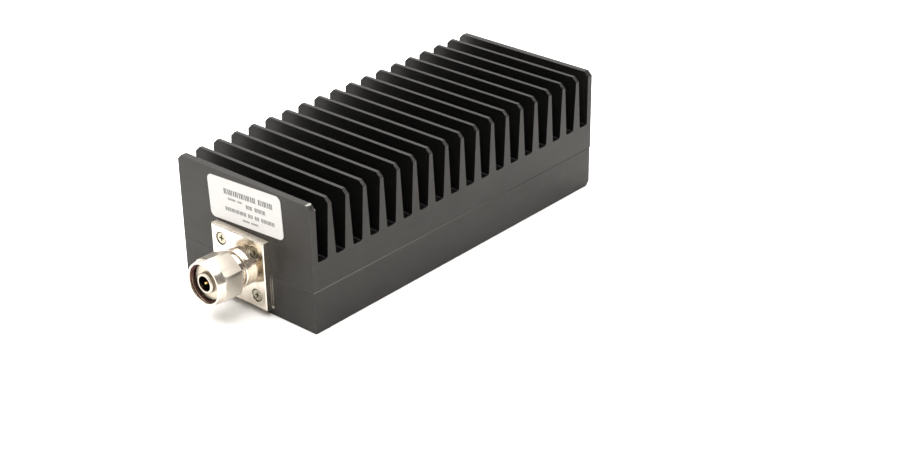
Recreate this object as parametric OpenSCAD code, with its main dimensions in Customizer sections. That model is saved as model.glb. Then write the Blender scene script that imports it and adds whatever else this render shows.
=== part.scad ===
// Finned coaxial power attenuator, plug at one end and jack at the other.
// +X runs along the signal axis from the plug to the jack, +Z is up,
// and the origin is the centre of the underside. Millimetres.

/* [Heat sink] */
// Number of fins, the two end fins included
fin_count = 19; // [9:1:25]
// Distance from fin to fin
fin_pitch = 9.2; // [8.6:0.1:11]
// Height of the fins above the slab
fin_height = 23.8; // [12:0.1:36]
// Thickness of a fin at its tip
fin_tip = 1.5; // [1.2:0.1:2.6]
// Thickness of a fin at its root
fin_root = 4.4; // [3.2:0.1:5.2]
// Radius between a fin and the slab
root_fillet = 0.9; // [0.3:0.1:1.4]
// Thickness of the two end fins
end_fin = 2.7; // [2:0.1:3.6]
// From the end fin's place in the row to the end face
end_margin = 0.8; // [0.4:0.1:2]
// Height of the slab under the fins
slab_height = 11.6; // [11:0.1:18]
// Width of the body, along the fins
body_width = 72; // [64:0.5:96]
// Chamfer along the two long top edges
top_chamfer = 2; // [0.5:0.1:3]

/* [Base cover] */
// Height of the base cover
cover_height = 17.8; // [17:0.1:22]
// How far the cover stands back from the heat sink at the jack end
cover_setback = 0.4; // [0.1:0.1:1]
// Thickness of the cover's floor
cover_floor = 6; // [3:0.1:9]
// Chamfer along the lower edge of the cover's jack end
cover_chamfer = 2; // [0.3:0.1:2.4]
// Chamfer along the cover's other lower edges
cover_side_chamfer = 0.3; // [0.1:0.1:1]
// Chamfer along the seam with the heat sink
seam_chamfer = 0.2; // [0.1:0.1:0.8]
// Number of cover screws along each side
cover_screw_rows = 4; // [2:1:6]
// Distance from a cover screw to the side face
cover_screw_inset = 6; // [5:0.1:9]
// Distance from the outer cover screws to the end faces
cover_screw_end = 14; // [11:0.5:24]
// Shank diameter of a cover screw
cover_screw_d = 4; // [3:0.1:4.5]
// Head diameter of a cover screw
cover_head_d = 7.6; // [6.6:0.1:8.4]
// How deep a cover screw goes into the slab
cover_screw_grip = 8; // [5:0.1:9]

/* [Label] */
// Width of the label
label_width = 40; // [20:0.5:50]
// Height of the label
label_height = 17.7; // [8:0.1:18.5]
// Corner radius of the label
label_radius = 2.4; // [1:0.1:4]
// Thickness of the label
label_thick = 0.15; // [0.1:0.01:0.3]
// Sideways place of the label's middle
label_side = -1; // [-6:0.1:6]
// Distance from the flange's top edge to the label's middle
label_rise = 10.9; // [10.4:0.1:12]
// Turn of the label on the face
label_tilt = 3; // [-3:0.5:3]

/* [Flanges] */
// Height of the connector axis above the underside
axis_height = 17.2; // [16.8:0.1:18.5]
// Sideways place of the connector axis
axis_side = 1.4; // [-4:0.1:4]
// Side of the square flanges
flange_side = 28.6; // [27:0.1:31]
// Thickness of the flanges
flange_thick = 3.2; // [2.6:0.1:5]
// Chamfer round the flange's front
flange_chamfer = 0.3; // [0.1:0.1:0.6]
// Distance between the flange's screws
hole_spacing = 18.26; // [17.6:0.02:19.5]
// Shank diameter of a flange screw
flange_screw_d = 2.8; // [2:0.1:3]
// Head diameter of a flange screw
flange_head_d = 4.4; // [4:0.1:4.8]
// How deep a flange screw goes into the body
flange_screw_grip = 6; // [4:0.1:7]
// Diameter of the spigot that enters the body
spigot_d = 12.8; // [11.4:0.1:14]
// Length of that spigot
spigot_length = 5; // [3:0.1:6.5]
// Diameter of the insulating beads
bead_d = 9.8; // [9.2:0.1:10.4]

/* [Plug] */
// Diameter of the collar between the flange and the neck
collar_d = 15.6; // [14.4:0.1:17]
// Reach of that collar from the end face
collar_reach = 5.9; // [4.5:0.1:7]
// Diameter of the plug's neck
neck_d = 13; // [12.6:0.1:13.4]
// Reach of the neck from the end face
neck_reach = 14; // [12.5:0.1:15]
// Reach of the insulating bead from the end face
plug_bead_reach = 9.4; // [7:0.1:10]
// Outer diameter of the outer contact
contact_d = 8.4; // [8:0.1:8.8]
// Bore of the outer contact
contact_bore = 6.2; // [5.8:0.1:6.8]
// Reach of the outer contact from the end face
contact_reach = 20.6; // [19:0.1:22]
// How far the outer contact stands out of its shoulder
contact_step = 2; // [1:0.1:2.4]
// Diameter of that shoulder
shoulder_d = 14.7; // [13.8:0.1:14.8]
// How far the pin's tip stands back from the outer contact
pin_setback = 0.5; // [0.2:0.1:2]
// Diameter of the pin's tip
pin_d = 1.66; // [1.5:0.01:1.7]
// Length of the pin's thin part
pin_length = 8; // [6:0.1:9]
// Length of the pin's tapered tip
pin_taper = 1; // [0.5:0.1:2]
// Diameter of the tapered tip's end
pin_end_d = 0.66; // [0.3:0.02:1]
// Diameter of the pin and socket where they are held
contact_core_d = 3.04; // [2.6:0.02:3.2]
// Outer diameter of the gasket
gasket_d = 12.4; // [11:0.1:12.6]
// Thickness of the gasket
gasket_thick = 1.6; // [1:0.1:2]

/* [Coupling nut] */
// Length of the nut
nut_length = 12.2; // [11:0.1:14]
// Across the nut's flats
nut_flats = 17.4; // [17.2:0.1:19]
// Across the nut's rounded corners
nut_corners_d = 19.4; // [19:0.1:21]
// Length of the hexagon from the nut's back
nut_hex_length = 8.6; // [6:0.1:9.5]
// Largest diameter of the round collar in front of the hexagon
nut_collar_d = 18.6; // [18:0.1:19]
// Diameter of the nut's front rim
nut_rim_d = 17.2; // [17:0.1:17.6]
// Thread diameter of the nut and of the jack
thread_d = 15.88; // [15.6:0.02:16]
// Length of the nut's thread from its front rim
nut_thread = 2.6; // [2:0.1:4]
// Depth of the relief behind the nut's thread
nut_relief = 0.2; // [0.1:0.05:0.3]
// Length of the lip that runs on the neck
nut_lip = 2.15; // [1.5:0.05:2.5]
// Length of the lip in front of the retaining ring
nut_front_lip = 1; // [0.6:0.1:1.4]
// Thickness of the retaining ring
ring_thick = 0.7; // [0.5:0.05:0.9]
// How far the retaining ring stands out of the neck
ring_proud = 0.55; // [0.4:0.05:0.7]
// How deep the retaining ring sits in the neck
ring_depth = 0.55; // [0.4:0.05:0.8]
// Length of the neck in front of the retaining ring
ring_nose = 1.85; // [1.6:0.05:2.4]
// Gap in the split retaining ring
ring_split = 2; // [1:0.1:3]
// Turn of the nut's hexagon at rest
nut_turn = -8; // [-30:1:30]

/* [Jack] */
// Reach of the jack's barrel from the end face
barrel_reach = 18; // [17:0.1:20]
// Length of the jack's thread
barrel_thread = 10.6; // [9:0.1:11.6]
// Length of the plain nose in front of the thread
barrel_nose = 1.4; // [0.8:0.1:2]
// Diameter of the plain nose
nose_d = 14.6; // [14:0.1:15]
// Diameter of the relief behind the thread
relief_d = 13.8; // [13.4:0.1:14.6]
// Diameter of the boss in the middle of the jack's flange
boss_d = 16.6; // [15:0.1:17.5]
// Height of that boss
boss_height = 0.7; // [0.3:0.1:1.2]
// Mouth bore of the jack
mouth_d = 8.5; // [8.2:0.1:8.8]
// Reach of the jack's bead from the end face
jack_bead_reach = 8.4; // [7:0.1:9.5]
// How far the socket's tip stands back from the barrel's end
socket_setback = 5.2; // [4.6:0.1:6]
// Bore of the socket
socket_bore = 1.72; // [1.6:0.02:1.8]
// Depth of the socket's bore
socket_depth = 4; // [3:0.1:4.2]
// Width of the socket's slots
socket_slot = 0.35; // [0.2:0.05:0.5]

/* [Inside] */
// Width of the channel for the element
channel_width = 30; // [28:0.5:36]
// Thickness of the channel's end walls
end_wall = 8; // [7.5:0.1:10]
// Length of the carrier plate
carrier_length = 80; // [60:1:110]
// Width of the carrier plate
carrier_width = 26; // [22:0.5:27]
// Thickness of the carrier plate
carrier_thick = 3; // [2:0.1:3.2]
// Distance from the carrier's screws to its edges
carrier_inset = 5; // [4:0.1:5.5]
// Shank diameter of a carrier screw
carrier_screw_d = 2.8; // [2:0.1:3]
// Head diameter of a carrier screw
carrier_head_d = 5; // [4:0.1:5.6]
// Head height of a carrier screw
carrier_head_height = 1.8; // [1.2:0.1:2.4]
// How deep a carrier screw goes into the slab
carrier_screw_grip = 4.5; // [3:0.1:5]
// Length of the film element
film_length = 50; // [30:1:56]
// Width of the film element
film_width = 20; // [10:0.5:21]
// Thickness of the film element
film_thick = 1; // [0.6:0.1:1.2]
// Width of the lines between the connectors and the film
line_width = 3; // [2:0.1:6]
// Thickness of those lines
line_thick = 1; // [0.5:0.1:1.4]
// How far a line lies on the film
line_lap = 3; // [2:0.1:6]
// How far the pin and the socket stand into the channel
core_stub = 3; // [2:0.1:6]

/* [Hidden] */

$fn = 64;
cut = 1;             // how far a cutting shape runs past a face
seat_gap = 0.03;     // radial clearance of pieces that are held still
spigot_gap = 0.1;    // radial clearance of the spigots
run_gap = 0.06;      // radial clearance of the nut on the neck
ring_gap = 0.05;     // axial clearance of the retaining ring in the neck
nut_play = 0.3;      // axial clearance of the retaining ring in the nut
ring_room = 0.2;     // radial clearance round the retaining ring
lip_room = 0.25;     // radial clearance of the nut's front lip
head_gap = 0.05;     // radial clearance of a screw's head
head_rim = 0.25;     // straight edge of a flat screw's head
head_sink = 0.3;     // how far a flat screw's head lies under the face
hole_room = 0.25;    // radial clearance of a screw in a plain hole
drill_point = 1;     // how much deeper a tapped hole is than its screw
edge_break = 0.4;    // small chamfers on turned pieces
arc_steps = 5;       // flats along a fin's root fillet
cross_width = 0.56;  // width of a screw's cross recess, as a share of its head
cross_depth = 0.18;  // depth of a screw's cross recess, as a share of its head
cross_slot = 0.14;   // width of the recess's arms, as a share of its head

body_length = (fin_count - 1) * fin_pitch + 2 * end_margin;
slab_top = cover_height + slab_height;
body_height = slab_top + fin_height;
end_x = body_length / 2;
fin_lean = (fin_root - fin_tip) / 2 / fin_height;

film_z = axis_height + line_thick / 2;
carrier_z = film_z + film_thick;
channel_top = carrier_z + carrier_thick;
channel_length = body_length - 2 * end_wall;
core_reach = end_wall + core_stub;

ring_back = neck_reach - ring_nose - ring_thick;
nut_back = ring_back - nut_play - nut_lip;
groove_front = ring_back + ring_thick + nut_play;
hex_end = nut_back + nut_hex_length;
nut_front = nut_back + nut_length;
neck_r = neck_d / 2;
thread_r = thread_d / 2;
core_r = contact_core_d / 2;
thread_front = barrel_reach - barrel_nose;
thread_back = thread_front - barrel_thread;

anodised = "#2b2a29";
nickel = "#cfc8bb";
gold = "#c9973a";
ptfe = "#f1efe9";
steel = "#b9b4a8";

// Places and frames

// Local +Z points out of the plug end, from the end face
module at_plug() {
    translate([-end_x, axis_side, axis_height]) rotate([0, -90, 0]) children();
}

// Local +Z points out of the jack end, from the end face
module at_jack() {
    translate([end_x, axis_side, axis_height]) rotate([0, 90, 0]) children();
}

module at_flange_screws() {
    for (a = [-1, 1], b = [-1, 1])
        translate([a * hole_spacing / 2, b * hole_spacing / 2, 0]) children();
}

module at_cover_screws() {
    reach = end_x - cover_screw_end;
    for (side = [-1, 1], i = [0 : cover_screw_rows - 1])
        translate([-reach + 2 * reach * i / (cover_screw_rows - 1),
                   side * (body_width / 2 - cover_screw_inset), 0]) children();
}

module at_carrier_screws() {
    for (a = [-1, 1], b = [-1, 1])
        translate([a * (carrier_length / 2 - carrier_inset),
                   axis_side + b * (carrier_width / 2 - carrier_inset), carrier_z]) children();
}

// Shapes that repeat

// Turned piece from points [radius, height]
module turned(points) {
    rotate_extrude() polygon(points);
}

module rod(d, low, high) {
    translate([0, 0, low]) cylinder(d = d, h = high - low);
}

// Cross recess of a screw, its mouth at z = 0
module cross_recess(head_d) {
    width = cross_width * head_d;
    slot = cross_slot * head_d;
    depth = cross_depth * head_d;
    for (a = [0, 90])
        rotate(a) translate([-width / 2, -slot / 2, -depth]) cube([width, slot, depth + cut]);
}

// Flat-head screw, its head's top at z = 0 and its shank down to -length
module flat_screw(d, head_d, length) {
    cone = (head_d - d) / 2;
    difference() {
        turned([[0, 0], [head_d / 2, 0], [head_d / 2, -head_rim], [d / 2, -head_rim - cone],
                [d / 2, -length], [0, -length]]);
        cross_recess(head_d);
    }
}

// Plain hole with a countersink for that screw, the face at z = 0
module flat_screw_hole(d, head_d, depth) {
    r = d / 2 + hole_room;
    mouth_r = head_d / 2 + head_gap + head_sink + head_rim;
    turned([[0, cut], [mouth_r, cut], [mouth_r, 0], [r, r - mouth_r], [r, -depth], [0, -depth]]);
}

// Tapped hole from z = 0 down
module tapped_hole(d, depth) {
    rod(d + 2 * seat_gap, -depth - drill_point, cut);
}

module flange_screws() {
    at_flange_screws() translate([0, 0, flange_thick - head_sink])
        flat_screw(flange_screw_d, flange_head_d, flange_thick - head_sink + flange_screw_grip);
}

// Square flange with its spigot and screw holes, before it is bored
module flange_blank() {
    difference() {
        union() {
            translate([-flange_side / 2, -flange_side / 2, 0])
                cube([flange_side, flange_side, flange_thick]);
            rod(spigot_d, -spigot_length, flange_thick);
        }
        for (a = [0 : 90 : 270])
            rotate(a) translate([flange_side / 2, 0, flange_thick]) rotate([90, 0, 0])
                linear_extrude(flange_side + cut, center = true)
                    polygon([[-flange_chamfer, 0], [0, -flange_chamfer], [cut, -flange_chamfer],
                             [cut, cut], [-flange_chamfer, cut]]);
        at_flange_screws() translate([0, 0, flange_thick])
            flat_screw_hole(flange_screw_d, flange_head_d, flange_thick + cut);
    }
}

// What a connector needs in the body: room for its spigot and stub, and its screws' holes
module flange_seat() {
    rod(spigot_d + 2 * spigot_gap, -end_wall - cut, cut);
    at_flange_screws() tapped_hole(flange_screw_d, flange_screw_grip);
}

module connector_cuts() {
    at_plug() flange_seat();
    at_jack() flange_seat();
}

module channel(low, high) {
    translate([-channel_length / 2, axis_side - channel_width / 2, low])
        cube([channel_length, channel_width, high - low]);
}

// Heat sink and cover

// Points along an arc round a centre, from angle a to angle b
function arc(centre, r, a, b) =
    [for (i = [0 : arc_steps]) let (t = a + (b - a) * i / arc_steps) centre + r * [cos(t), sin(t)]];

// Gap between two fins: its foot runs from x0 to x1, and each wall leans away by its lean
module gap_profile(x0, lean0, x1, lean1) {
    r = root_fillet;
    rise = fin_height + cut;
    c0 = x0 - r * lean0 + r * sqrt(1 + lean0 * lean0);
    c1 = x1 + r * lean1 - r * sqrt(1 + lean1 * lean1);
    translate([0, slab_top])
        polygon(concat(arc([c0, r], r, 180 + atan(lean0), 270), arc([c1, r], r, 270, 360 - atan(lean1)),
                       [[x1 + rise * lean1, rise], [x0 - rise * lean0, rise]]));
}

// Side view of the heat sink
module fin_profile() {
    last = fin_count - 2;
    difference() {
        translate([-end_x, cover_height]) square([body_length, slab_height + fin_height]);
        for (i = [0 : last]) {
            left = -end_x + end_margin + i * fin_pitch;
            gap_profile(i == 0 ? -end_x + end_fin : left + fin_root / 2, i == 0 ? 0 : fin_lean,
                        i == last ? end_x - end_fin : left + fin_pitch - fin_root / 2,
                        i == last ? 0 : fin_lean);
        }
    }
}

// End view of the heat sink
module sink_end_profile() {
    w = body_width / 2;
    polygon([[-w, cover_height], [w, cover_height], [w, body_height - top_chamfer],
             [w - top_chamfer, body_height], [-w + top_chamfer, body_height],
             [-w, body_height - top_chamfer]]);
}

module heat_sink() {
    color(anodised) difference() {
        intersection() {
            rotate([90, 0, 0]) linear_extrude(body_width + cut, center = true) fin_profile();
            rotate([90, 0, 90]) linear_extrude(body_length + cut, center = true)
                sink_end_profile();
        }
        channel(cover_height - cut, channel_top);
        connector_cuts();
        at_cover_screws() translate([0, 0, cover_height]) rotate([180, 0, 0])
            tapped_hole(cover_screw_d, cover_screw_grip);
        at_carrier_screws() translate([0, 0, carrier_thick]) rotate([180, 0, 0])
            tapped_hole(carrier_screw_d, carrier_screw_grip);
    }
}

// Block outline from x0 to x1, the second lower corner with a chamfer of its own,
// and the seam's chamfer on the upper corners
module cover_profile(x0, x1, lower) {
    low = cover_side_chamfer;
    high = cover_height - seam_chamfer;
    polygon([[x0 + low, 0], [x1 - lower, 0], [x1, lower], [x1, high],
             [x1 - seam_chamfer, cover_height], [x0 + seam_chamfer, cover_height],
             [x0, high], [x0, low]]);
}

module base_cover() {
    w = body_width / 2;
    color(anodised) difference() {
        intersection() {
            rotate([90, 0, 0]) linear_extrude(body_width + cut, center = true)
                cover_profile(-end_x, end_x - cover_setback, cover_chamfer);
            rotate([90, 0, 90]) linear_extrude(body_length + cut, center = true)
                cover_profile(-w, w, cover_side_chamfer);
        }
        channel(cover_floor, cover_height + cut);
        connector_cuts();
        at_cover_screws() rotate([180, 0, 0])
            flat_screw_hole(cover_screw_d, cover_head_d, cover_height + cut);
    }
}

module cover_screws() {
    color(steel) at_cover_screws() translate([0, 0, head_sink]) rotate([180, 0, 0])
        flat_screw(cover_screw_d, cover_head_d, cover_height - head_sink + cover_screw_grip);
}

module label() {
    height = label_height / 2 - label_radius;
    width = label_width / 2 - label_radius;
    color("#f4f2ee")
        translate([-end_x, label_side, axis_height + flange_side / 2 + label_rise])
            rotate([0, -90, 0]) rotate(label_tilt) linear_extrude(label_thick) {
                square([label_height, 2 * width], center = true);
                square([2 * height, label_width], center = true);
                for (a = [-1, 1], b = [-1, 1])
                    translate([a * height, b * width]) circle(label_radius);
            }
}

// Plug end

module plug_body() {
    color(nickel) at_plug() difference() {
        union() {
            flange_blank();
            turned([[0, 0], [collar_d / 2, 0], [collar_d / 2, collar_reach - edge_break],
                    [collar_d / 2 - edge_break, collar_reach], [0, collar_reach]]);
            rod(neck_d, 0, neck_reach);
        }
        rod(bead_d, -spigot_length - cut, plug_bead_reach);
        rod(contact_d + 2 * seat_gap, plug_bead_reach - cut, neck_reach + cut);
        difference() {
            rod(neck_d + cut, ring_back - ring_gap, ring_back + ring_thick + ring_gap);
            rod(neck_d - 2 * ring_depth, ring_back - cut, ring_back + ring_thick + cut);
        }
    }
}

module plug_screws() {
    color(steel) at_plug() flange_screws();
}

module plug_outer_contact() {
    outer = contact_d / 2;
    inner = contact_bore / 2;
    shoulder = shoulder_d / 2;
    seat = neck_reach + gasket_thick;
    front = contact_reach - contact_step;
    color(nickel) at_plug()
        turned([[inner, plug_bead_reach], [outer, plug_bead_reach], [outer, seat], [shoulder, seat],
                [shoulder, front - edge_break / 2], [shoulder - edge_break / 2, front], [outer, front],
                [outer, contact_reach - edge_break], [outer - edge_break, contact_reach],
                [inner, contact_reach]]);
}

// Bead with a bore for the centre contact, flush with the spigot's end
module bead(reach) {
    color(ptfe) difference() {
        rod(bead_d - 2 * seat_gap, -spigot_length, reach);
        rod(contact_core_d + 2 * seat_gap, -spigot_length - cut, reach + cut);
    }
}

module plug_insulator() {
    at_plug() bead(plug_bead_reach);
}

module plug_pin() {
    tip = contact_reach - pin_setback;
    r = pin_d / 2;
    color(gold) at_plug()
        turned([[0, -core_reach], [core_r, -core_reach], [core_r, tip - pin_length],
                [r, tip - pin_length + core_r - r], [r, tip - pin_taper], [pin_end_d / 2, tip],
                [0, tip]]);
}

module plug_gasket() {
    outer = gasket_d / 2;
    inner = contact_d / 2 + seat_gap;
    high = neck_reach + gasket_thick;
    color("#7a2a1c") at_plug()
        turned([[inner, neck_reach], [outer, neck_reach], [outer, high - edge_break],
                [outer - edge_break, high], [inner, high]]);
}

// Outside of the nut: hexagon with turned ends, then the collar down to the rim
module nut_outside() {
    back = (nut_corners_d - nut_flats) / 2;
    intersection() {
        rod(nut_flats / cos(30), nut_back, nut_front, $fn = 6);
        turned([[0, nut_back], [nut_corners_d / 2 - back, nut_back],
                [nut_corners_d / 2, nut_back + back / 2], [nut_corners_d / 2, hex_end - back / 2],
                [nut_collar_d / 2, hex_end], [0, hex_end]]);
    }
    turned([[0, hex_end - edge_break], [nut_flats / 2, hex_end - edge_break],
            [nut_collar_d / 2, hex_end], [nut_rim_d / 2, nut_front], [0, nut_front]]);
}

module coupling_nut() {
    lip_r = neck_r + run_gap;
    groove_r = neck_r + ring_proud + ring_room;
    front_lip_r = neck_r + lip_room;
    relief_r = thread_r + nut_relief;
    relief_start = groove_front + nut_front_lip;
    thread_start = nut_front - nut_thread;
    lead = edge_break / 2;
    color(nickel) at_plug() difference() {
        rotate(nut_turn) nut_outside();
        turned([[0, nut_back - cut], [lip_r, nut_back - cut], [lip_r, ring_back - nut_play],
                [groove_r, ring_back - nut_play], [groove_r, groove_front],
                [front_lip_r, groove_front], [front_lip_r, relief_start],
                [relief_r, relief_start], [relief_r, thread_start - nut_relief],
                [thread_r, thread_start], [thread_r, nut_front - lead],
                [thread_r + lead, nut_front], [thread_r + lead, nut_front + cut],
                [0, nut_front + cut]]);
    }
}

module nut_ring() {
    outer = neck_r + ring_proud;
    inner = neck_r - ring_depth + seat_gap;
    color(steel) at_plug() translate([0, 0, ring_back]) difference() {
        turned([[inner, 0], [outer, 0], [outer, ring_thick], [inner, ring_thick]]);
        translate([0, -ring_split / 2, -cut]) cube([neck_d, ring_split, ring_thick + 2 * cut]);
    }
}

// Jack end

module jack_body() {
    color(nickel) at_jack() difference() {
        union() {
            flange_blank();
            rod(boss_d, 0, flange_thick + boss_height);
            turned([[0, 0], [relief_d / 2, 0], [relief_d / 2, thread_back],
                    [thread_r - edge_break, thread_back], [thread_r, thread_back + edge_break],
                    [thread_r, thread_front - edge_break], [nose_d / 2, thread_front],
                    [nose_d / 2, barrel_reach - edge_break],
                    [nose_d / 2 - edge_break, barrel_reach], [0, barrel_reach]]);
        }
        rod(bead_d, -spigot_length - cut, jack_bead_reach);
        rod(mouth_d, jack_bead_reach - cut, barrel_reach + cut);
    }
}

module jack_screws() {
    color(steel) at_jack() flange_screws();
}

module jack_insulator() {
    at_jack() bead(jack_bead_reach);
}

module jack_socket() {
    tip = barrel_reach - socket_setback;
    color(gold) at_jack() difference() {
        turned([[0, -core_reach], [core_r, -core_reach], [core_r, tip - edge_break / 2],
                [core_r - edge_break / 2, tip], [0, tip]]);
        rod(socket_bore, tip - socket_depth, tip + cut);
        for (a = [0, 90])
            rotate(a) translate([-core_r - cut, -socket_slot / 2, tip - socket_depth])
                cube([contact_core_d + 2 * cut, socket_slot, socket_depth + cut]);
    }
}

// Inside

module element_carrier() {
    color("#b08a66") difference() {
        translate([-carrier_length / 2, axis_side - carrier_width / 2, carrier_z])
            cube([carrier_length, carrier_width, carrier_thick]);
        at_carrier_screws() rod(carrier_screw_d + 2 * hole_room, -cut, carrier_thick + cut);
    }
}

module carrier_screws() {
    shank = carrier_thick + carrier_screw_grip;
    color(steel) at_carrier_screws() difference() {
        union() {
            rod(carrier_head_d, -carrier_head_height, 0);
            rod(carrier_screw_d, -carrier_head_height, shank);
        }
        translate([0, 0, -carrier_head_height]) rotate([180, 0, 0])
            cross_recess(carrier_head_d);
    }
}

module film_element() {
    color("#ece8dc") translate([-film_length / 2, axis_side - film_width / 2, film_z])
        cube([film_length, film_width, film_thick]);
}

// Flat line from the end of a centre contact to the film, dir -1 at the plug and 1 at the jack
module line(dir) {
    outer = end_x - core_reach;
    inner = film_length / 2 - line_lap;
    color("#c98e5a") translate([dir > 0 ? inner : -outer, axis_side - line_width / 2,
                                axis_height - line_thick / 2])
        cube([outer - inner, line_width, line_thick]);
}

module input_line() {
    line(-1);
}

module output_line() {
    line(1);
}

heat_sink();
base_cover();
cover_screws();
label();
plug_body();
plug_screws();
plug_outer_contact();
plug_insulator();
plug_pin();
plug_gasket();
coupling_nut();
nut_ring();
jack_body();
jack_screws();
jack_insulator();
jack_socket();
element_carrier();
carrier_screws();
film_element();
input_line();
output_line();
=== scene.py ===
"""Looks of a finned coaxial attenuator: finishes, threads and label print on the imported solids."""
import math

import bmesh
import bpy
from mathutils import Matrix, Vector


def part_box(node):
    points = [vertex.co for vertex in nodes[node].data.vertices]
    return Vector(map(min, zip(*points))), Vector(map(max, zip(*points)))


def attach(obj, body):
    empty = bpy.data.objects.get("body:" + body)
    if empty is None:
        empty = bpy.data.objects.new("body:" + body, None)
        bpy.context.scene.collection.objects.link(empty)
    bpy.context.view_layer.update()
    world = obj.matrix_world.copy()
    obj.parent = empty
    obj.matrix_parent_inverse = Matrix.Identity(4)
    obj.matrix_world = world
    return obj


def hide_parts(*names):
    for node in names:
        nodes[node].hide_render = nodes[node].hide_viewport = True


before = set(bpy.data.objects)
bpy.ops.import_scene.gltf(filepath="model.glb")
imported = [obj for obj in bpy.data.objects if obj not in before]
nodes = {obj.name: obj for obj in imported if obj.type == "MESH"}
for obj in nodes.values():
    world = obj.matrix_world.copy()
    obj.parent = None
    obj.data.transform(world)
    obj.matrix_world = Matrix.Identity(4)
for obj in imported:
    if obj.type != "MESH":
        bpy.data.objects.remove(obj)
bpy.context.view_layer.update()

MM = 0.001

# Camera, lengths in metres and angles in degrees
IMAGE_WIDTH = 900
FOCAL_PIXELS = 1764.6
SENSOR_WIDTH = 36
CAMERA_AZIMUTH = -48.33
CAMERA_ELEVATION = 27.29
CAMERA_ROLL = -0.782
CAMERA_DISTANCE = 0.73466
AIM_RIGHT = 0.02161
AIM_UP = 0.00105
CLIP_START = 0.01

# Softbox over the table, in metres and watts
SOFTBOX_PLACE = (0.05, 0.2, 1.2)
SOFTBOX_TARGET = (0.05, 0.2, 0)
SOFTBOX_SIZE = (2.1, 2.1)
SOFTBOX_POWER = 70
SOFTBOX_COLOR = (1, 0.99, 0.97)

# Threads, 24 turns to the inch
THREAD_PITCH = 25.4 / 24 * MM
THREAD_STEPS = 72
THREAD_CREST = 0.14 * MM
THREAD_FLANK = math.tan(math.radians(30))
THREAD_SINK = 0.05 * MM
THREAD_RADIUS = 7.94 * MM
NUT_THREAD_DEPTH = 0.54 * MM
NUT_THREAD_SPAN = (0.45 * MM, 2.5 * MM)
JACK_THREAD_DEPTH = 0.62 * MM
JACK_THREAD_SPAN = (1.5 * MM, 12.2 * MM)

# Places shared by the pieces. Zones of a finish end SLACK or so beside the face that bounds them
SLACK = 0.05 * MM
pin_low, pin_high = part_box("plug_pin")
AXIS_Y = (pin_low.y + pin_high.y) / 2
AXIS_Z = (pin_low.z + pin_high.z) / 2
sink_low, sink_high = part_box("heat_sink")
nut_low, nut_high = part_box("coupling_nut")
jack_low, jack_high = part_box("jack_body")
label_low, label_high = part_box("label")
FLANGE_END = sink_high.x + 3.2 * MM + SLACK
FLANGE_HALF = (jack_high.y - jack_low.y) / 2
FLANGE_SCREW = 9.13 * MM
COUNTERSINK = 3 * MM
CONTACT_START = sink_high.x + 14 * MM
CONTACT_RADIUS = 5.4 * MM
CONTACT_HALF = 2.1 * MM
CONTACT_BORE = 3.2 * MM
HEXAGON_INSIDE = 8.3 * MM
HEXAGON_START = -nut_high.x - SLACK
HEXAGON_END = -nut_high.x + 8.6 * MM
END_FIN = 2.75 * MM
TOP_CHAMFER = 2 * MM
SLAB_TOP = 29.4 * MM


# Camera, floor and light

def make_camera():
    azimuth = math.radians(CAMERA_AZIMUTH)
    elevation = math.radians(CAMERA_ELEVATION)
    roll = math.radians(CAMERA_ROLL)
    back = Vector((math.sin(azimuth) * math.cos(elevation), -math.cos(azimuth) * math.cos(elevation),
                   math.sin(elevation)))
    level = Vector((math.cos(azimuth), math.sin(azimuth), 0))
    upright = back.cross(level)
    right = math.cos(roll) * level + math.sin(roll) * upright
    up = math.cos(roll) * upright - math.sin(roll) * level
    place = AIM_RIGHT * right + AIM_UP * up + CAMERA_DISTANCE * back
    data = bpy.data.cameras.new("camera")
    data.sensor_width = SENSOR_WIDTH
    data.lens = FOCAL_PIXELS / IMAGE_WIDTH * SENSOR_WIDTH
    data.clip_start = CLIP_START
    camera = bpy.data.objects.new("camera", data)
    turn = Matrix((right, up, back)).transposed()
    camera.matrix_world = Matrix.Translation(place) @ turn.to_4x4()
    bpy.context.scene.collection.objects.link(camera)
    bpy.context.scene.camera = camera


def area_light(name, place, target, size, power, color):
    data = bpy.data.lights.new(name, "AREA")
    data.shape = "RECTANGLE"
    data.size, data.size_y = size
    data.energy = power
    data.color = color
    light = bpy.data.objects.new(name, data)
    light.location = place
    light.rotation_mode = "QUATERNION"
    light.rotation_quaternion = (Vector(target) - Vector(place)).to_track_quat("-Z", "Y")
    bpy.context.scene.collection.objects.link(light)


def make_light():
    area_light("top_softbox", SOFTBOX_PLACE, SOFTBOX_TARGET, SOFTBOX_SIZE, SOFTBOX_POWER, SOFTBOX_COLOR)
    bpy.context.scene.world = make_world()
    bpy.context.scene.view_settings.view_transform = "Standard"


# The room round the table: dim walls, a white backdrop behind the object, and an even white where
# the camera looks past the floor
ROOM_TONE = (0.30, 0.29, 0.28)
BACKDROP_TONE = (1.2, 1.185, 1.165)
SEEN_TONE = (0.95, 0.95, 0.945)
BACKDROP_WAY = (0.66, 0.75, 0)
BACKDROP_EDGE = (0.15, 0.45)
BACKDROP_TOP = (0.50, 0.64)


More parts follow.
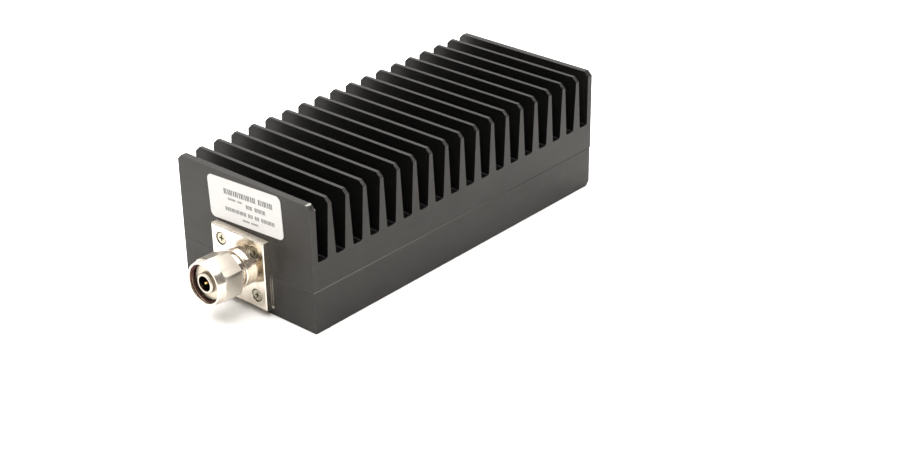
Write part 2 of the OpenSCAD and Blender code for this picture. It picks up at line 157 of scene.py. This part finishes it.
def make_world():
    world = bpy.data.worlds.new("studio")
    world.use_nodes = True
    tree = world.node_tree
    back = tree.nodes["Background"]
    coordinate = tree.nodes.new("ShaderNodeTexCoord")
    facing = tree.nodes.new("ShaderNodeVectorMath")
    facing.operation = "DOT_PRODUCT"
    facing.inputs[1].default_value = BACKDROP_WAY
    parts = tree.nodes.new("ShaderNodeSeparateXYZ")
    tree.links.new(coordinate.outputs["Generated"], facing.inputs[0])
    tree.links.new(coordinate.outputs["Generated"], parts.inputs[0])
    masks = []
    for source, (low, high), ends in ((facing.outputs["Value"], BACKDROP_EDGE, (0, 1)),
                                      (parts.outputs["Z"], BACKDROP_TOP, (1, 0))):
        span = tree.nodes.new("ShaderNodeMapRange")
        span.interpolation_type = "SMOOTHSTEP"
        for key, value in zip(("From Min", "From Max", "To Min", "To Max"), (low, high, *ends)):
            span.inputs[key].default_value = value
        tree.links.new(source, span.inputs["Value"])
        masks.append(span.outputs["Result"])
    both = tree.nodes.new("ShaderNodeMath")
    both.operation = "MULTIPLY"
    for mask, slot in zip(masks, both.inputs):
        tree.links.new(mask, slot)
    room, seen = (tree.nodes.new("ShaderNodeMix") for _ in range(2))
    room.data_type = seen.data_type = "RGBA"
    room.inputs["A"].default_value = (*ROOM_TONE, 1)
    room.inputs["B"].default_value = (*BACKDROP_TONE, 1)
    seen.inputs["B"].default_value = (*SEEN_TONE, 1)
    path = tree.nodes.new("ShaderNodeLightPath")
    tree.links.new(both.outputs[0], room.inputs["Factor"])
    tree.links.new(room.outputs["Result"], seen.inputs["A"])
    tree.links.new(path.outputs["Is Camera Ray"], seen.inputs["Factor"])
    tree.links.new(seen.outputs["Result"], back.inputs["Color"])
    return world


FLOOR_HALF = 3.0


def make_floor(finish):
    mesh = bpy.data.meshes.new("floor")
    corners = [(-1, -1), (1, -1), (1, 1), (-1, 1)]
    mesh.from_pydata([(x * FLOOR_HALF, y * FLOOR_HALF, 0) for x, y in corners], [], [(0, 1, 2, 3)])
    floor = bpy.data.objects.new("floor", mesh)
    mesh.materials.append(finish)
    bpy.context.scene.collection.objects.link(floor)


# Finishes

class Finish:
    """One material on one Principled shader, with short calls for its texture nodes."""

    def __init__(self, name, color, roughness, metallic=0.0):
        self.material = bpy.data.materials.new(name)
        self.material.use_nodes = True
        self.tree = self.material.node_tree
        self.shader = self.tree.nodes["Principled BSDF"]
        self.set("Base Color", (*color, 1))
        self.set("Roughness", roughness)
        self.set("Metallic", metallic)

    def set(self, socket, value):
        self.shader.inputs[socket].default_value = value

    def node(self, kind, **values):
        made = self.tree.nodes.new(kind)
        for key, value in values.items():
            setattr(made, key, value)
        return made

    def join(self, source, target):
        self.tree.links.new(source, target)

    def feed(self, socket, source):
        self.join(source, self.shader.inputs[socket])

    def place(self, scale=(1, 1, 1), offset=(0, 0, 0)):
        """Object coordinates, moved by offset and then scaled."""
        coordinate = self.node("ShaderNodeTexCoord")
        shift = self.node("ShaderNodeVectorMath", operation="ADD")
        shift.inputs[1].default_value = offset
        stretch = self.node("ShaderNodeVectorMath", operation="MULTIPLY")
        stretch.inputs[1].default_value = scale
        self.join(coordinate.outputs["Object"], shift.inputs[0])
        self.join(shift.outputs[0], stretch.inputs[0])
        return stretch.outputs[0]

    def noise(self, vector, scale, detail=4.0, roughness=0.55):
        made = self.node("ShaderNodeTexNoise")
        made.inputs["Scale"].default_value = scale
        made.inputs["Detail"].default_value = detail
        made.inputs["Roughness"].default_value = roughness
        self.join(vector, made.inputs["Vector"])
        return made.outputs["Fac"]

    def span(self, source, low, high, out_low=0.0, out_high=1.0):
        """Maps low..high of the source to out_low..out_high, held at both ends."""
        made = self.node("ShaderNodeMapRange")
        keys = ("From Min", "From Max", "To Min", "To Max")
        for key, value in zip(keys, (low, high, out_low, out_high)):
            made.inputs[key].default_value = value
        self.join(source, made.inputs["Value"])
        return made.outputs["Result"]

    def math(self, operation, a, b):
        made = self.node("ShaderNodeMath", operation=operation)
        for slot, value in zip(made.inputs, (a, b)):
            if isinstance(value, (int, float)):
                slot.default_value = value
            else:
                self.join(value, slot)
        return made.outputs[0]

    def above(self, a, b):
        return self.math("GREATER_THAN", a, b)

    def below(self, a, b):
        return self.math("LESS_THAN", a, b)

    def both(self, a, b):
        return self.math("MULTIPLY", a, b)

    def size(self, a):
        return self.math("ABSOLUTE", a, 0.0)

    def split(self, vector):
        """The three coordinates of a vector."""
        parts = self.node("ShaderNodeSeparateXYZ")
        self.join(vector, parts.inputs[0])
        return list(parts.outputs)

    def mix(self, factor, low, high):
        made = self.node("ShaderNodeMix", data_type="RGBA")
        self.join(factor, made.inputs["Factor"])
        for slot, value in ((made.inputs["A"], low), (made.inputs["B"], high)):
            if isinstance(value, tuple):
                slot.default_value = (*value, 1)
            else:
                self.join(value, slot)
        return made.outputs["Result"]

    def blend(self, factor, low, high):
        """Numbers instead of colours: low where factor is 0, high where it is 1."""
        rest = self.math("SUBTRACT", 1.0, factor)
        return self.math("ADD", self.both(rest, low), self.both(factor, high))

    def bump(self, height, distance, strength=1.0, below=None):
        made = self.node("ShaderNodeBump")
        made.inputs["Distance"].default_value = distance
        made.inputs["Strength"].default_value = strength
        self.join(height, made.inputs["Height"])
        if below is not None:
            self.join(below, made.inputs["Normal"])
        return made.outputs["Normal"]

    def spot(self, middle, reach):
        """1 in the middle, falling to 0 at its reach along each axis."""
        away = self.node("ShaderNodeVectorMath", operation="LENGTH")
        self.join(self.place([1 / r for r in reach], [-m for m in middle]), away.inputs[0])
        return self.span(away.outputs["Value"], 0.0, 1.0, 1.0, 0.0)

    def shade_between_fins(self, top):
        """1 below top on the fins' walls and the floors between them, 0 on the outside of the body: the
        mask of the painted shade between the fins.
        """
        along, across, height = self.split(self.place())
        along, across = self.size(along), self.size(across)
        chamfer = self.math("ADD", across, height)
        chamfer_limit = sink_high.y + sink_high.z - TOP_CHAMFER
        inside = self.below(along, sink_high.x - END_FIN)
        for part, limit in ((across, sink_high.y), (height, top), (chamfer, chamfer_limit)):
            inside = self.both(inside, self.below(part, limit - 3 * SLACK))
        return self.both(inside, self.above(height, SLAB_TOP - 2 * SLACK))

    def edges(self, radius):
        """1 on edges within radius of a corner, 0 on flat ground."""
        bevel = self.node("ShaderNodeBevel", samples=6)
        bevel.inputs["Radius"].default_value = radius
        ground = self.node("ShaderNodeNewGeometry")
        dot = self.node("ShaderNodeVectorMath", operation="DOT_PRODUCT")
        self.join(bevel.outputs[0], dot.inputs[0])
        self.join(ground.outputs["Normal"], dot.inputs[1])
        return self.span(dot.outputs["Value"], 0.99, 0.8)


# Marks on the anodised pieces: middle, reach along each axis, how far noise eats into them, and colour
FIN_CORNER = Vector((sink_low.x, sink_low.y, sink_high.z))
MARKS = [
    (FIN_CORNER + Vector((1.5, 0.9, -1.1)) * MM,
     (1.5 * MM, 0.8 * MM, 0.8 * MM), (0.1, 0.8), (0.016, 0.015, 0.014)),
    (FIN_CORNER + Vector((1.5, 2.1, 0)) * MM,
     (2.3 * MM, 0.75 * MM, 0.6 * MM), (0.0, 0.5), (0.3, 0.29, 0.27)),
    (FIN_CORNER + Vector((2.5, 0.1, -2)) * MM,
     (0.6 * MM, 0.5 * MM, 0.6 * MM), (0.1, 0.7), (0.15, 0.145, 0.14)),
    # A light line beside the flange's -Y edge on the front face, and a light dot at its lower end
    (Vector((sink_low.x, AXIS_Y - FLANGE_HALF - 0.5 * MM, AXIS_Z - 6.6 * MM)),
     (0.6 * MM, 0.4 * MM, 8 * MM), (0.0, 0.4), (0.16, 0.155, 0.148)),
    (Vector((sink_low.x, AXIS_Y - FLANGE_HALF - 0.3 * MM, AXIS_Z - 13.7 * MM)),
     (0.6 * MM, 0.55 * MM, 0.8 * MM), (0.0, 0.4), (0.4, 0.385, 0.36)),
]
# Lighter metal along the parting line on the -Y side, partly bare metal and partly a painted highlight
# where its edge catches the light, and painted light that fills the shade in the seam's groove at the
# plug end: middle, reach and colour
SEAM_PAINTED_LIGHT = [((sink_low.x, -sink_high.y), (150 * MM, 0.5 * MM, 0.3 * MM), (0.12, 0.116, 0.11)),
         ((sink_low.x + 0.16 * MM, 0), (0.16 * MM, 150 * MM, 0.4 * MM), (0.17, 0.163, 0.156))]
WORN_EDGE = 0.35 * MM


def anodised_finish():
    """Dark satin metal with painted shade between the fins, painted light along the parting lines, worn
    edges, a few bare spots at the front fin's corner, and a light line and dot beside the flange.
    """
    finish = Finish("black_anodised_finish", (0.03, 0.029, 0.028), 0.42, 0.82)
    plain = finish.place()
    cloud = finish.noise(plain, 70, 5)
    grain = finish.noise(plain, 2600, 3)
    lines = finish.noise(finish.place((60, 12, 2400)), 1, 4)
    tone = finish.mix(finish.span(cloud, 0.3, 0.75), (0.029, 0.0272, 0.0255), (0.035, 0.033, 0.031))
    # Painted shade between the fins, darkest down near the floors of the gaps
    tone = finish.mix(finish.shade_between_fins(sink_high.z), tone, (0.0145, 0.0139, 0.0134))
    tone = finish.mix(finish.shade_between_fins(SLAB_TOP + 1 * MM), tone, (0.003, 0.003, 0.003))
    rubbed = finish.span(finish.noise(plain, 420, 4), 0.42, 0.7)
    tone = finish.mix(finish.both(finish.edges(WORN_EDGE), rubbed), tone, (0.075, 0.072, 0.069))
    # Painted highlight and painted light along the parting lines
    for middle, reach, light in SEAM_PAINTED_LIGHT:
        painted_seam_light = finish.spot((*middle, sink_low.z - 2 * SLACK), reach)
        tone = finish.mix(finish.span(painted_seam_light, 0.1, 0.5), tone, light)
    mark_edge_noise = finish.noise(plain, 900, 3)
    for middle, reach, cover, color in MARKS:
        eaten = finish.span(mark_edge_noise, 0.3, 0.7, *cover)
        tone = finish.mix(finish.above(finish.spot(middle, reach), eaten), tone, color)
    finish.feed("Base Color", tone)
    drawn = finish.span(lines, 0.3, 0.7, 0.34, 0.46)
    blasted = finish.span(grain, 0.3, 0.7, -0.03, 0.05)
    finish.feed("Roughness", finish.math("ADD", drawn, blasted))
    fine = finish.bump(grain, 0.02 * MM, 0.6)
    finish.feed("Normal", finish.bump(lines, 0.015 * MM, 0.5, fine))
    return finish.material


# Zones of the nickel pieces: roughness of the plain ones, and colours of the dull ones and of the
# painted shade in the countersinks and down the contact's bore
NICKEL_SATIN = {"flange": 0.14, "upright": 0.16, "level": 0.5, "contact": 0.42, "hexagon": 0.38}
# Painted shade: dark rings in the countersinks round the screw heads and a dark bore inside the contact
NICKEL_DULL_AND_SHADE = {"countersink": (0.17, 0.15, 0.11), "contact": (0.57, 0.51, 0.43),
                 "hexagon": (0.62, 0.57, 0.5), "bore": (0.03, 0.027, 0.022)}


def nickel_zones(finish, parts, radius):
    """Faces of the flanges, the outer contact and the nut by name, and the countersinks and the
    contact's bore that take painted shade, each 1 inside and 0 outside.
    """
    away, side, height = (finish.size(part) for part in parts)
    flange = finish.below(away, FLANGE_END)
    tip = finish.above(away, CONTACT_START)
    from_ring = finish.size(finish.math("SUBTRACT", radius, CONTACT_RADIUS))
    nut = finish.both(finish.above(away, HEXAGON_START), finish.below(away, HEXAGON_END))
    steps = [finish.math("SUBTRACT", part, FLANGE_SCREW) for part in (side, height)]
    from_screw = finish.math("ADD", *(finish.both(step, step) for step in steps))
    return {
        "flange": flange,
        "upright": finish.both(flange, finish.above(side, FLANGE_HALF - SLACK)),
        "level": finish.both(flange, finish.above(height, FLANGE_HALF - SLACK)),
        "contact": finish.both(tip, finish.below(from_ring, CONTACT_HALF)),
        "bore": finish.both(tip, finish.below(radius, CONTACT_BORE)),
        "hexagon": finish.both(nut, finish.above(radius, HEXAGON_INSIDE)),
        "countersink": finish.both(finish.below(from_screw, COUNTERSINK ** 2),
                                   finish.below(away, FLANGE_END - 2 * SLACK)),
    }


def plated_finish(name, color, stain, roughness, ring_strength, zoned=False):
    """Bright plating over a turned surface, with fine rings round the connector axis.

    Where zoned, the flanges, the outer contact and the nut have their own roughness and colours, and
    the countersinks and the contact's bore get painted shade.
    """
    finish = Finish(name, color, roughness, 1.0)
    plain = finish.place()
    parts = finish.split(finish.place((1, 1, 1), (0, -AXIS_Y, -AXIS_Z)))
    squares = [finish.both(part, part) for part in parts[1:]]
    radius = finish.math("SQRT", finish.math("ADD", *squares), 0.0)
    ring = finish.node("ShaderNodeCombineXYZ")
    finish.join(parts[0], ring.inputs[0])
    finish.join(radius, ring.inputs[1])
    relief = finish.noise(ring.outputs[0], 3800, 3)
    tone = finish.mix(finish.span(finish.noise(plain, 260, 5), 0.45, 0.8), color, stain)
    smear = finish.span(finish.noise(plain, 700, 4), 0.3, 0.75, roughness * 0.8, roughness * 1.35)
    if zoned:
        zones = nickel_zones(finish, parts, radius)
        grain = finish.noise(plain, 2400, 3)
        relief = finish.blend(zones["flange"], relief, grain)
        for key, value in NICKEL_SATIN.items():
            satin = finish.span(grain, 0.3, 0.7, value * 0.9, value * 1.1)
            smear = finish.blend(zones[key], smear, satin)
        # Dull tones, and painted shade in the countersinks and the bore
        for key, dull_and_shade in NICKEL_DULL_AND_SHADE.items():
            tone = finish.mix(zones[key], tone, dull_and_shade)
    finish.feed("Base Color", tone)
    finish.feed("Roughness", smear)
    finish.feed("Normal", finish.bump(relief, 0.012 * MM, ring_strength))
    return finish.material


def insulator_finish():
    finish = Finish("white_insulator_finish", (0.86, 0.85, 0.82), 0.45)
    cloud = finish.noise(finish.place(), 500, 4)
    finish.feed("Base Color", finish.mix(cloud, (0.80, 0.79, 0.76), (0.90, 0.89, 0.86)))
    finish.feed("Normal", finish.bump(finish.noise(finish.place(), 3000, 2), 0.01 * MM, 0.5))
    return finish.material


def silicone_finish():
    finish = Finish("red_silicone_finish", (0.20, 0.035, 0.02), 0.5)
    speck = finish.noise(finish.place(), 1800, 3)
    finish.feed("Base Color", finish.mix(speck, (0.16, 0.028, 0.016), (0.26, 0.05, 0.028)))
    finish.feed("Normal", finish.bump(speck, 0.02 * MM, 0.4))
    return finish.material


def label_finish():
    finish = Finish("label_white_finish", (0.55, 0.54, 0.525), 0.38)
    fibre = finish.noise(finish.place((400, 900, 900)), 1, 4)
    finish.feed("Base Color", finish.mix(fibre, (0.52, 0.51, 0.495), (0.58, 0.57, 0.555)))
    finish.feed("Normal", finish.bump(fibre, 0.01 * MM, 0.4))
    return finish.material


def ink_finish():
    finish = Finish("label_ink_finish", (0.10, 0.10, 0.10), 0.5)
    patch = finish.noise(finish.place(), 2500, 3)
    finish.feed("Base Color", finish.mix(patch, (0.07, 0.07, 0.07), (0.16, 0.16, 0.155)))
    return finish.material


def thread_finish():
    """Nickel thread, dark red-brown, darker in patches."""
    finish = Finish("nut_thread_finish", (0.30, 0.16, 0.12), 0.4, 0.6)
    patch = finish.noise(finish.place(), 700, 4)
    dark_patches = finish.span(patch, 0.35, 0.65)
    finish.feed("Base Color", finish.mix(dark_patches, (0.02, 0.005, 0.004), (0.09, 0.026, 0.018)))
    finish.feed("Roughness", finish.span(patch, 0.3, 0.7, 0.4, 0.6))
    return finish.material


def copper_finish():
    finish = Finish("copper_finish", (0.72, 0.43, 0.27), 0.35, 1.0)
    cloud = finish.noise(finish.place(), 160, 5)
    finish.feed("Base Color", finish.mix(cloud, (0.60, 0.33, 0.20), (0.78, 0.50, 0.34)))
    finish.feed("Roughness", finish.span(cloud, 0.3, 0.7, 0.28, 0.45))
    return finish.material


# How much of the ceramic plate the film covers
FILM_LENGTH_SHARE = 0.82
FILM_WIDTH_SHARE = 0.8


def ceramic_finish():
    """White ceramic with the dark resistive film printed down its middle."""
    finish = Finish("film_ceramic_finish", (0.8, 0.78, 0.73), 0.5)
    grain = finish.noise(finish.place(), 1500, 3)
    body = finish.mix(grain, (0.76, 0.74, 0.69), (0.84, 0.82, 0.78))
    low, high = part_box("film_element")
    along, across = finish.split(finish.place((1, 1, 1), (0, -AXIS_Y, 0)))[:2]
    inside = finish.both(finish.below(finish.size(along), high.x * FILM_LENGTH_SHARE),
                         finish.below(finish.size(across), (high.y - low.y) / 2 * FILM_WIDTH_SHARE))
    finish.feed("Base Color", finish.mix(inside, body, (0.035, 0.033, 0.03)))
    return finish.material


def floor_finish():
    finish = Finish("floor_finish", (0.92, 0.92, 0.92), 0.7)
    cloud = finish.noise(finish.place(), 6, 3)
    finish.feed("Base Color", finish.mix(cloud, (0.91, 0.91, 0.905), (0.94, 0.94, 0.935)))
    finish.set("Specular IOR Level", 0.2)
    return finish.material


def make_finishes():
    return {
        "black_anodised": anodised_finish(),
        "nickel_plate": plated_finish("nickel_plate_finish", (0.75, 0.69, 0.61),
                                      (0.62, 0.545, 0.45), 0.23, 0.5, zoned=True),
        "screw_steel": plated_finish("screw_steel_finish", (0.46, 0.43, 0.34),
                                     (0.26, 0.23, 0.17), 0.26, 0.4),
        "gold_plate": plated_finish("gold_plate_finish", (0.83, 0.56, 0.20),
                                    (0.62, 0.38, 0.12), 0.2, 0.4),
        "white_insulator": insulator_finish(),
        "red_silicone": silicone_finish(),
        "label_white": label_finish(),
        "copper": copper_finish(),
        "film_ceramic": ceramic_finish(),
    }


# Solids that stay: their finish and their broken edges, widths in mm

EDGE_BREAK = {"heat_sink": 0.14, "base_cover": 0.08, "coupling_nut": 0.1, "plug_body": 0.04,
              "plug_outer_contact": 0.06, "cover_screws": 0.08, "plug_screws": 0.06,
              "jack_screws": 0.06}
SHARP_ANGLE = math.radians(32)
WELD_REACH = 0.001 * MM


def weld(piece):
    piece.modifiers.new("weld", "WELD").merge_threshold = WELD_REACH


def break_edges(piece, width):
    weld(piece)
    bevel = piece.modifiers.new("broken_edges", "BEVEL")
    bevel.width = width
    bevel.segments = 2
    bevel.limit_method = "ANGLE"
    bevel.angle_limit = SHARP_ANGLE
    bevel.harden_normals = True


def dress_solids(finishes):
    for node in nodes.values():
        for slot in node.material_slots:
            slot.material = finishes[slot.material.name]
    for name, width in EDGE_BREAK.items():
        break_edges(nodes[name], width * MM)


# Pieces made here

def add_piece(name, shape, finish, body):
    mesh = bpy.data.meshes.new(name)
    shape.to_mesh(mesh)
    shape.free()
    piece = bpy.data.objects.new(name, mesh)
    mesh.materials.append(finish)
    bpy.context.scene.collection.objects.link(piece)
    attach(piece, body)
    return piece


def helix(profile, start_x, length, outward):
    """Closed ridge along a right-hand helix round the connector axis, outward along +X or -X.

    profile(share) gives the section's points (radius, along) at that share of the length.
    """
    shape = bmesh.new()
    steps = round(length / THREAD_PITCH * THREAD_STEPS)
    rings = []
    for i in range(steps + 1):
        angle = 2 * math.pi * i / THREAD_STEPS
        along = THREAD_PITCH * i / THREAD_STEPS
        ring = []
        for radius, offset in profile(i / steps):
            x = start_x + outward * (along + offset)
            y = AXIS_Y + outward * radius * math.cos(angle)
            z = AXIS_Z + radius * math.sin(angle)
            ring.append(shape.verts.new((x, y, z)))
        rings.append(ring)
    count = len(rings[0])
    for low, high in zip(rings, rings[1:]):
        for k in range(count):
            shape.faces.new((low[k], low[(k + 1) % count], high[(k + 1) % count], high[k]))
    shape.faces.new(rings[0])
    shape.faces.new(rings[-1])
    bmesh.ops.recalc_face_normals(shape, faces=shape.faces)
    return shape


def run_out(share, turns):
    """Rises over the first half turn and falls over the last one."""
    edge = 0.5 / turns
    return min(1.0, share / edge, (1 - share) / edge)


def make_nut_thread(finish):
    """A ridge inside the nut, rooted a little in its wall."""
    low, high = NUT_THREAD_SPAN
    turns = (high - low) / THREAD_PITCH

    def section(share):
        depth = NUT_THREAD_DEPTH * max(run_out(share, turns), 0.05)
        crest = THREAD_CREST / 2
        foot = crest + depth * THREAD_FLANK
        root, base, top = THREAD_RADIUS, THREAD_RADIUS + THREAD_SINK, THREAD_RADIUS - depth
        return [(base, -foot), (root, -foot), (top, -crest), (top, crest), (root, foot), (base, foot)]

    shape = helix(section, nut_low.x + high, high - low, -1)
    add_piece("nut_thread", shape, finish, "nut")


def make_jack_thread(finish):
    """The jack's body again, with its thread cut into the barrel."""
    low, high = JACK_THREAD_SPAN
    turns = (high - low) / THREAD_PITCH

    def section(share):
        depth = JACK_THREAD_DEPTH * max(run_out(share, turns), 0.02)
        crest = THREAD_CREST / 2
        mouth = crest + (depth + THREAD_SINK) * THREAD_FLANK
        return [(THREAD_RADIUS + THREAD_SINK, -mouth), (THREAD_RADIUS - depth, -crest),
                (THREAD_RADIUS - depth, crest), (THREAD_RADIUS + THREAD_SINK, mouth)]

    groove = bpy.data.objects.new("groove", bpy.data.meshes.new("groove"))
    cutter = helix(section, jack_high.x - high, high - low, 1)
    cutter.to_mesh(groove.data)
    cutter.free()
    source = nodes["jack_body"]
    blank = bpy.data.objects.new("blank", source.data.copy())
    for made in (groove, blank):
        bpy.context.scene.collection.objects.link(made)
    weld(blank)
    cut = blank.modifiers.new("cut", "BOOLEAN")
    cut.operation = "DIFFERENCE"
    cut.solver = "EXACT"
    cut.object = groove
    shape = bmesh.new()
    shape.from_object(blank, bpy.context.evaluated_depsgraph_get())
    for made in (groove, blank):
        bpy.data.objects.remove(made)
    body = add_piece("jack_threaded_body", shape, finish, "body")
    body.data.shade_smooth()
    body.data.set_sharp_from_angle(angle=SHARP_ANGLE)
    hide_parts("jack_body")


# Label print: rows of plain bars, given as (middle height, bar height, stretches across the label)
LABEL_TILT = math.radians(3)
PRINT_RISE = 0.02 * MM
PRINT_ROWS = [
    (3.7, 2.3, [(-11.2, 6.7), (7.7, 15.8)]),
    (0.9, 0.9, [(-9.2, -4.9), (-3.9, -1.3)]),
    (0.0, 1.7, [(0.6, 4.2), (5.4, 11.4)]),
    (-3.5, 1.6, [(-11.2, 0.4), (1.4, 4.0), (5.0, 7.6), (8.6, 15.8)]),
    (-6.3, 0.8, [(-2.0, 1.8), (2.6, 6.6)]),
]
PRINT_PITCH = 0.46
PRINT_FILL = (0.72, 0.5, 0.62)


def print_bars():
    """Short bars of changing width along each stretch."""
    for middle, height, stretches in PRINT_ROWS:
        for start, end in stretches:
            count = max(2, round((end - start) / (height * PRINT_PITCH)))
            step = (end - start) / count
            for i in range(count):
                left = start + i * step
                yield left, left + step * PRINT_FILL[i % len(PRINT_FILL)], middle, height


def make_label_print(finish):
    middle = (label_low + label_high) / 2
    face = label_low.x
    across = Vector((0, -math.cos(LABEL_TILT), math.sin(LABEL_TILT)))
    up = Vector((0, math.sin(LABEL_TILT), math.cos(LABEL_TILT)))
    out = Vector((-1, 0, 0))
    shape = bmesh.new()
    for left, right, height, tall in print_bars():
        corners = [(left, height - tall / 2), (right, height - tall / 2),
                   (right, height + tall / 2), (left, height + tall / 2)]
        rings = []
        for lift in (0, PRINT_RISE):
            base = Vector((face, middle.y, middle.z)) + lift * out
            rings.append([shape.verts.new(base + u * MM * across + v * MM * up) for u, v in corners])
        for k in range(4):
            shape.faces.new((rings[0][k], rings[0][k - 1], rings[1][k - 1], rings[1][k]))
        shape.faces.new(rings[0])
        shape.faces.new(rings[1])
    bmesh.ops.recalc_face_normals(shape, faces=shape.faces)
    add_piece("label_print", shape, finish, "body")


make_camera()
finishes = make_finishes()
dress_solids(finishes)
make_nut_thread(thread_finish())
make_jack_thread(finishes["nickel_plate"])
make_label_print(ink_finish())
make_floor(floor_finish())
make_light()
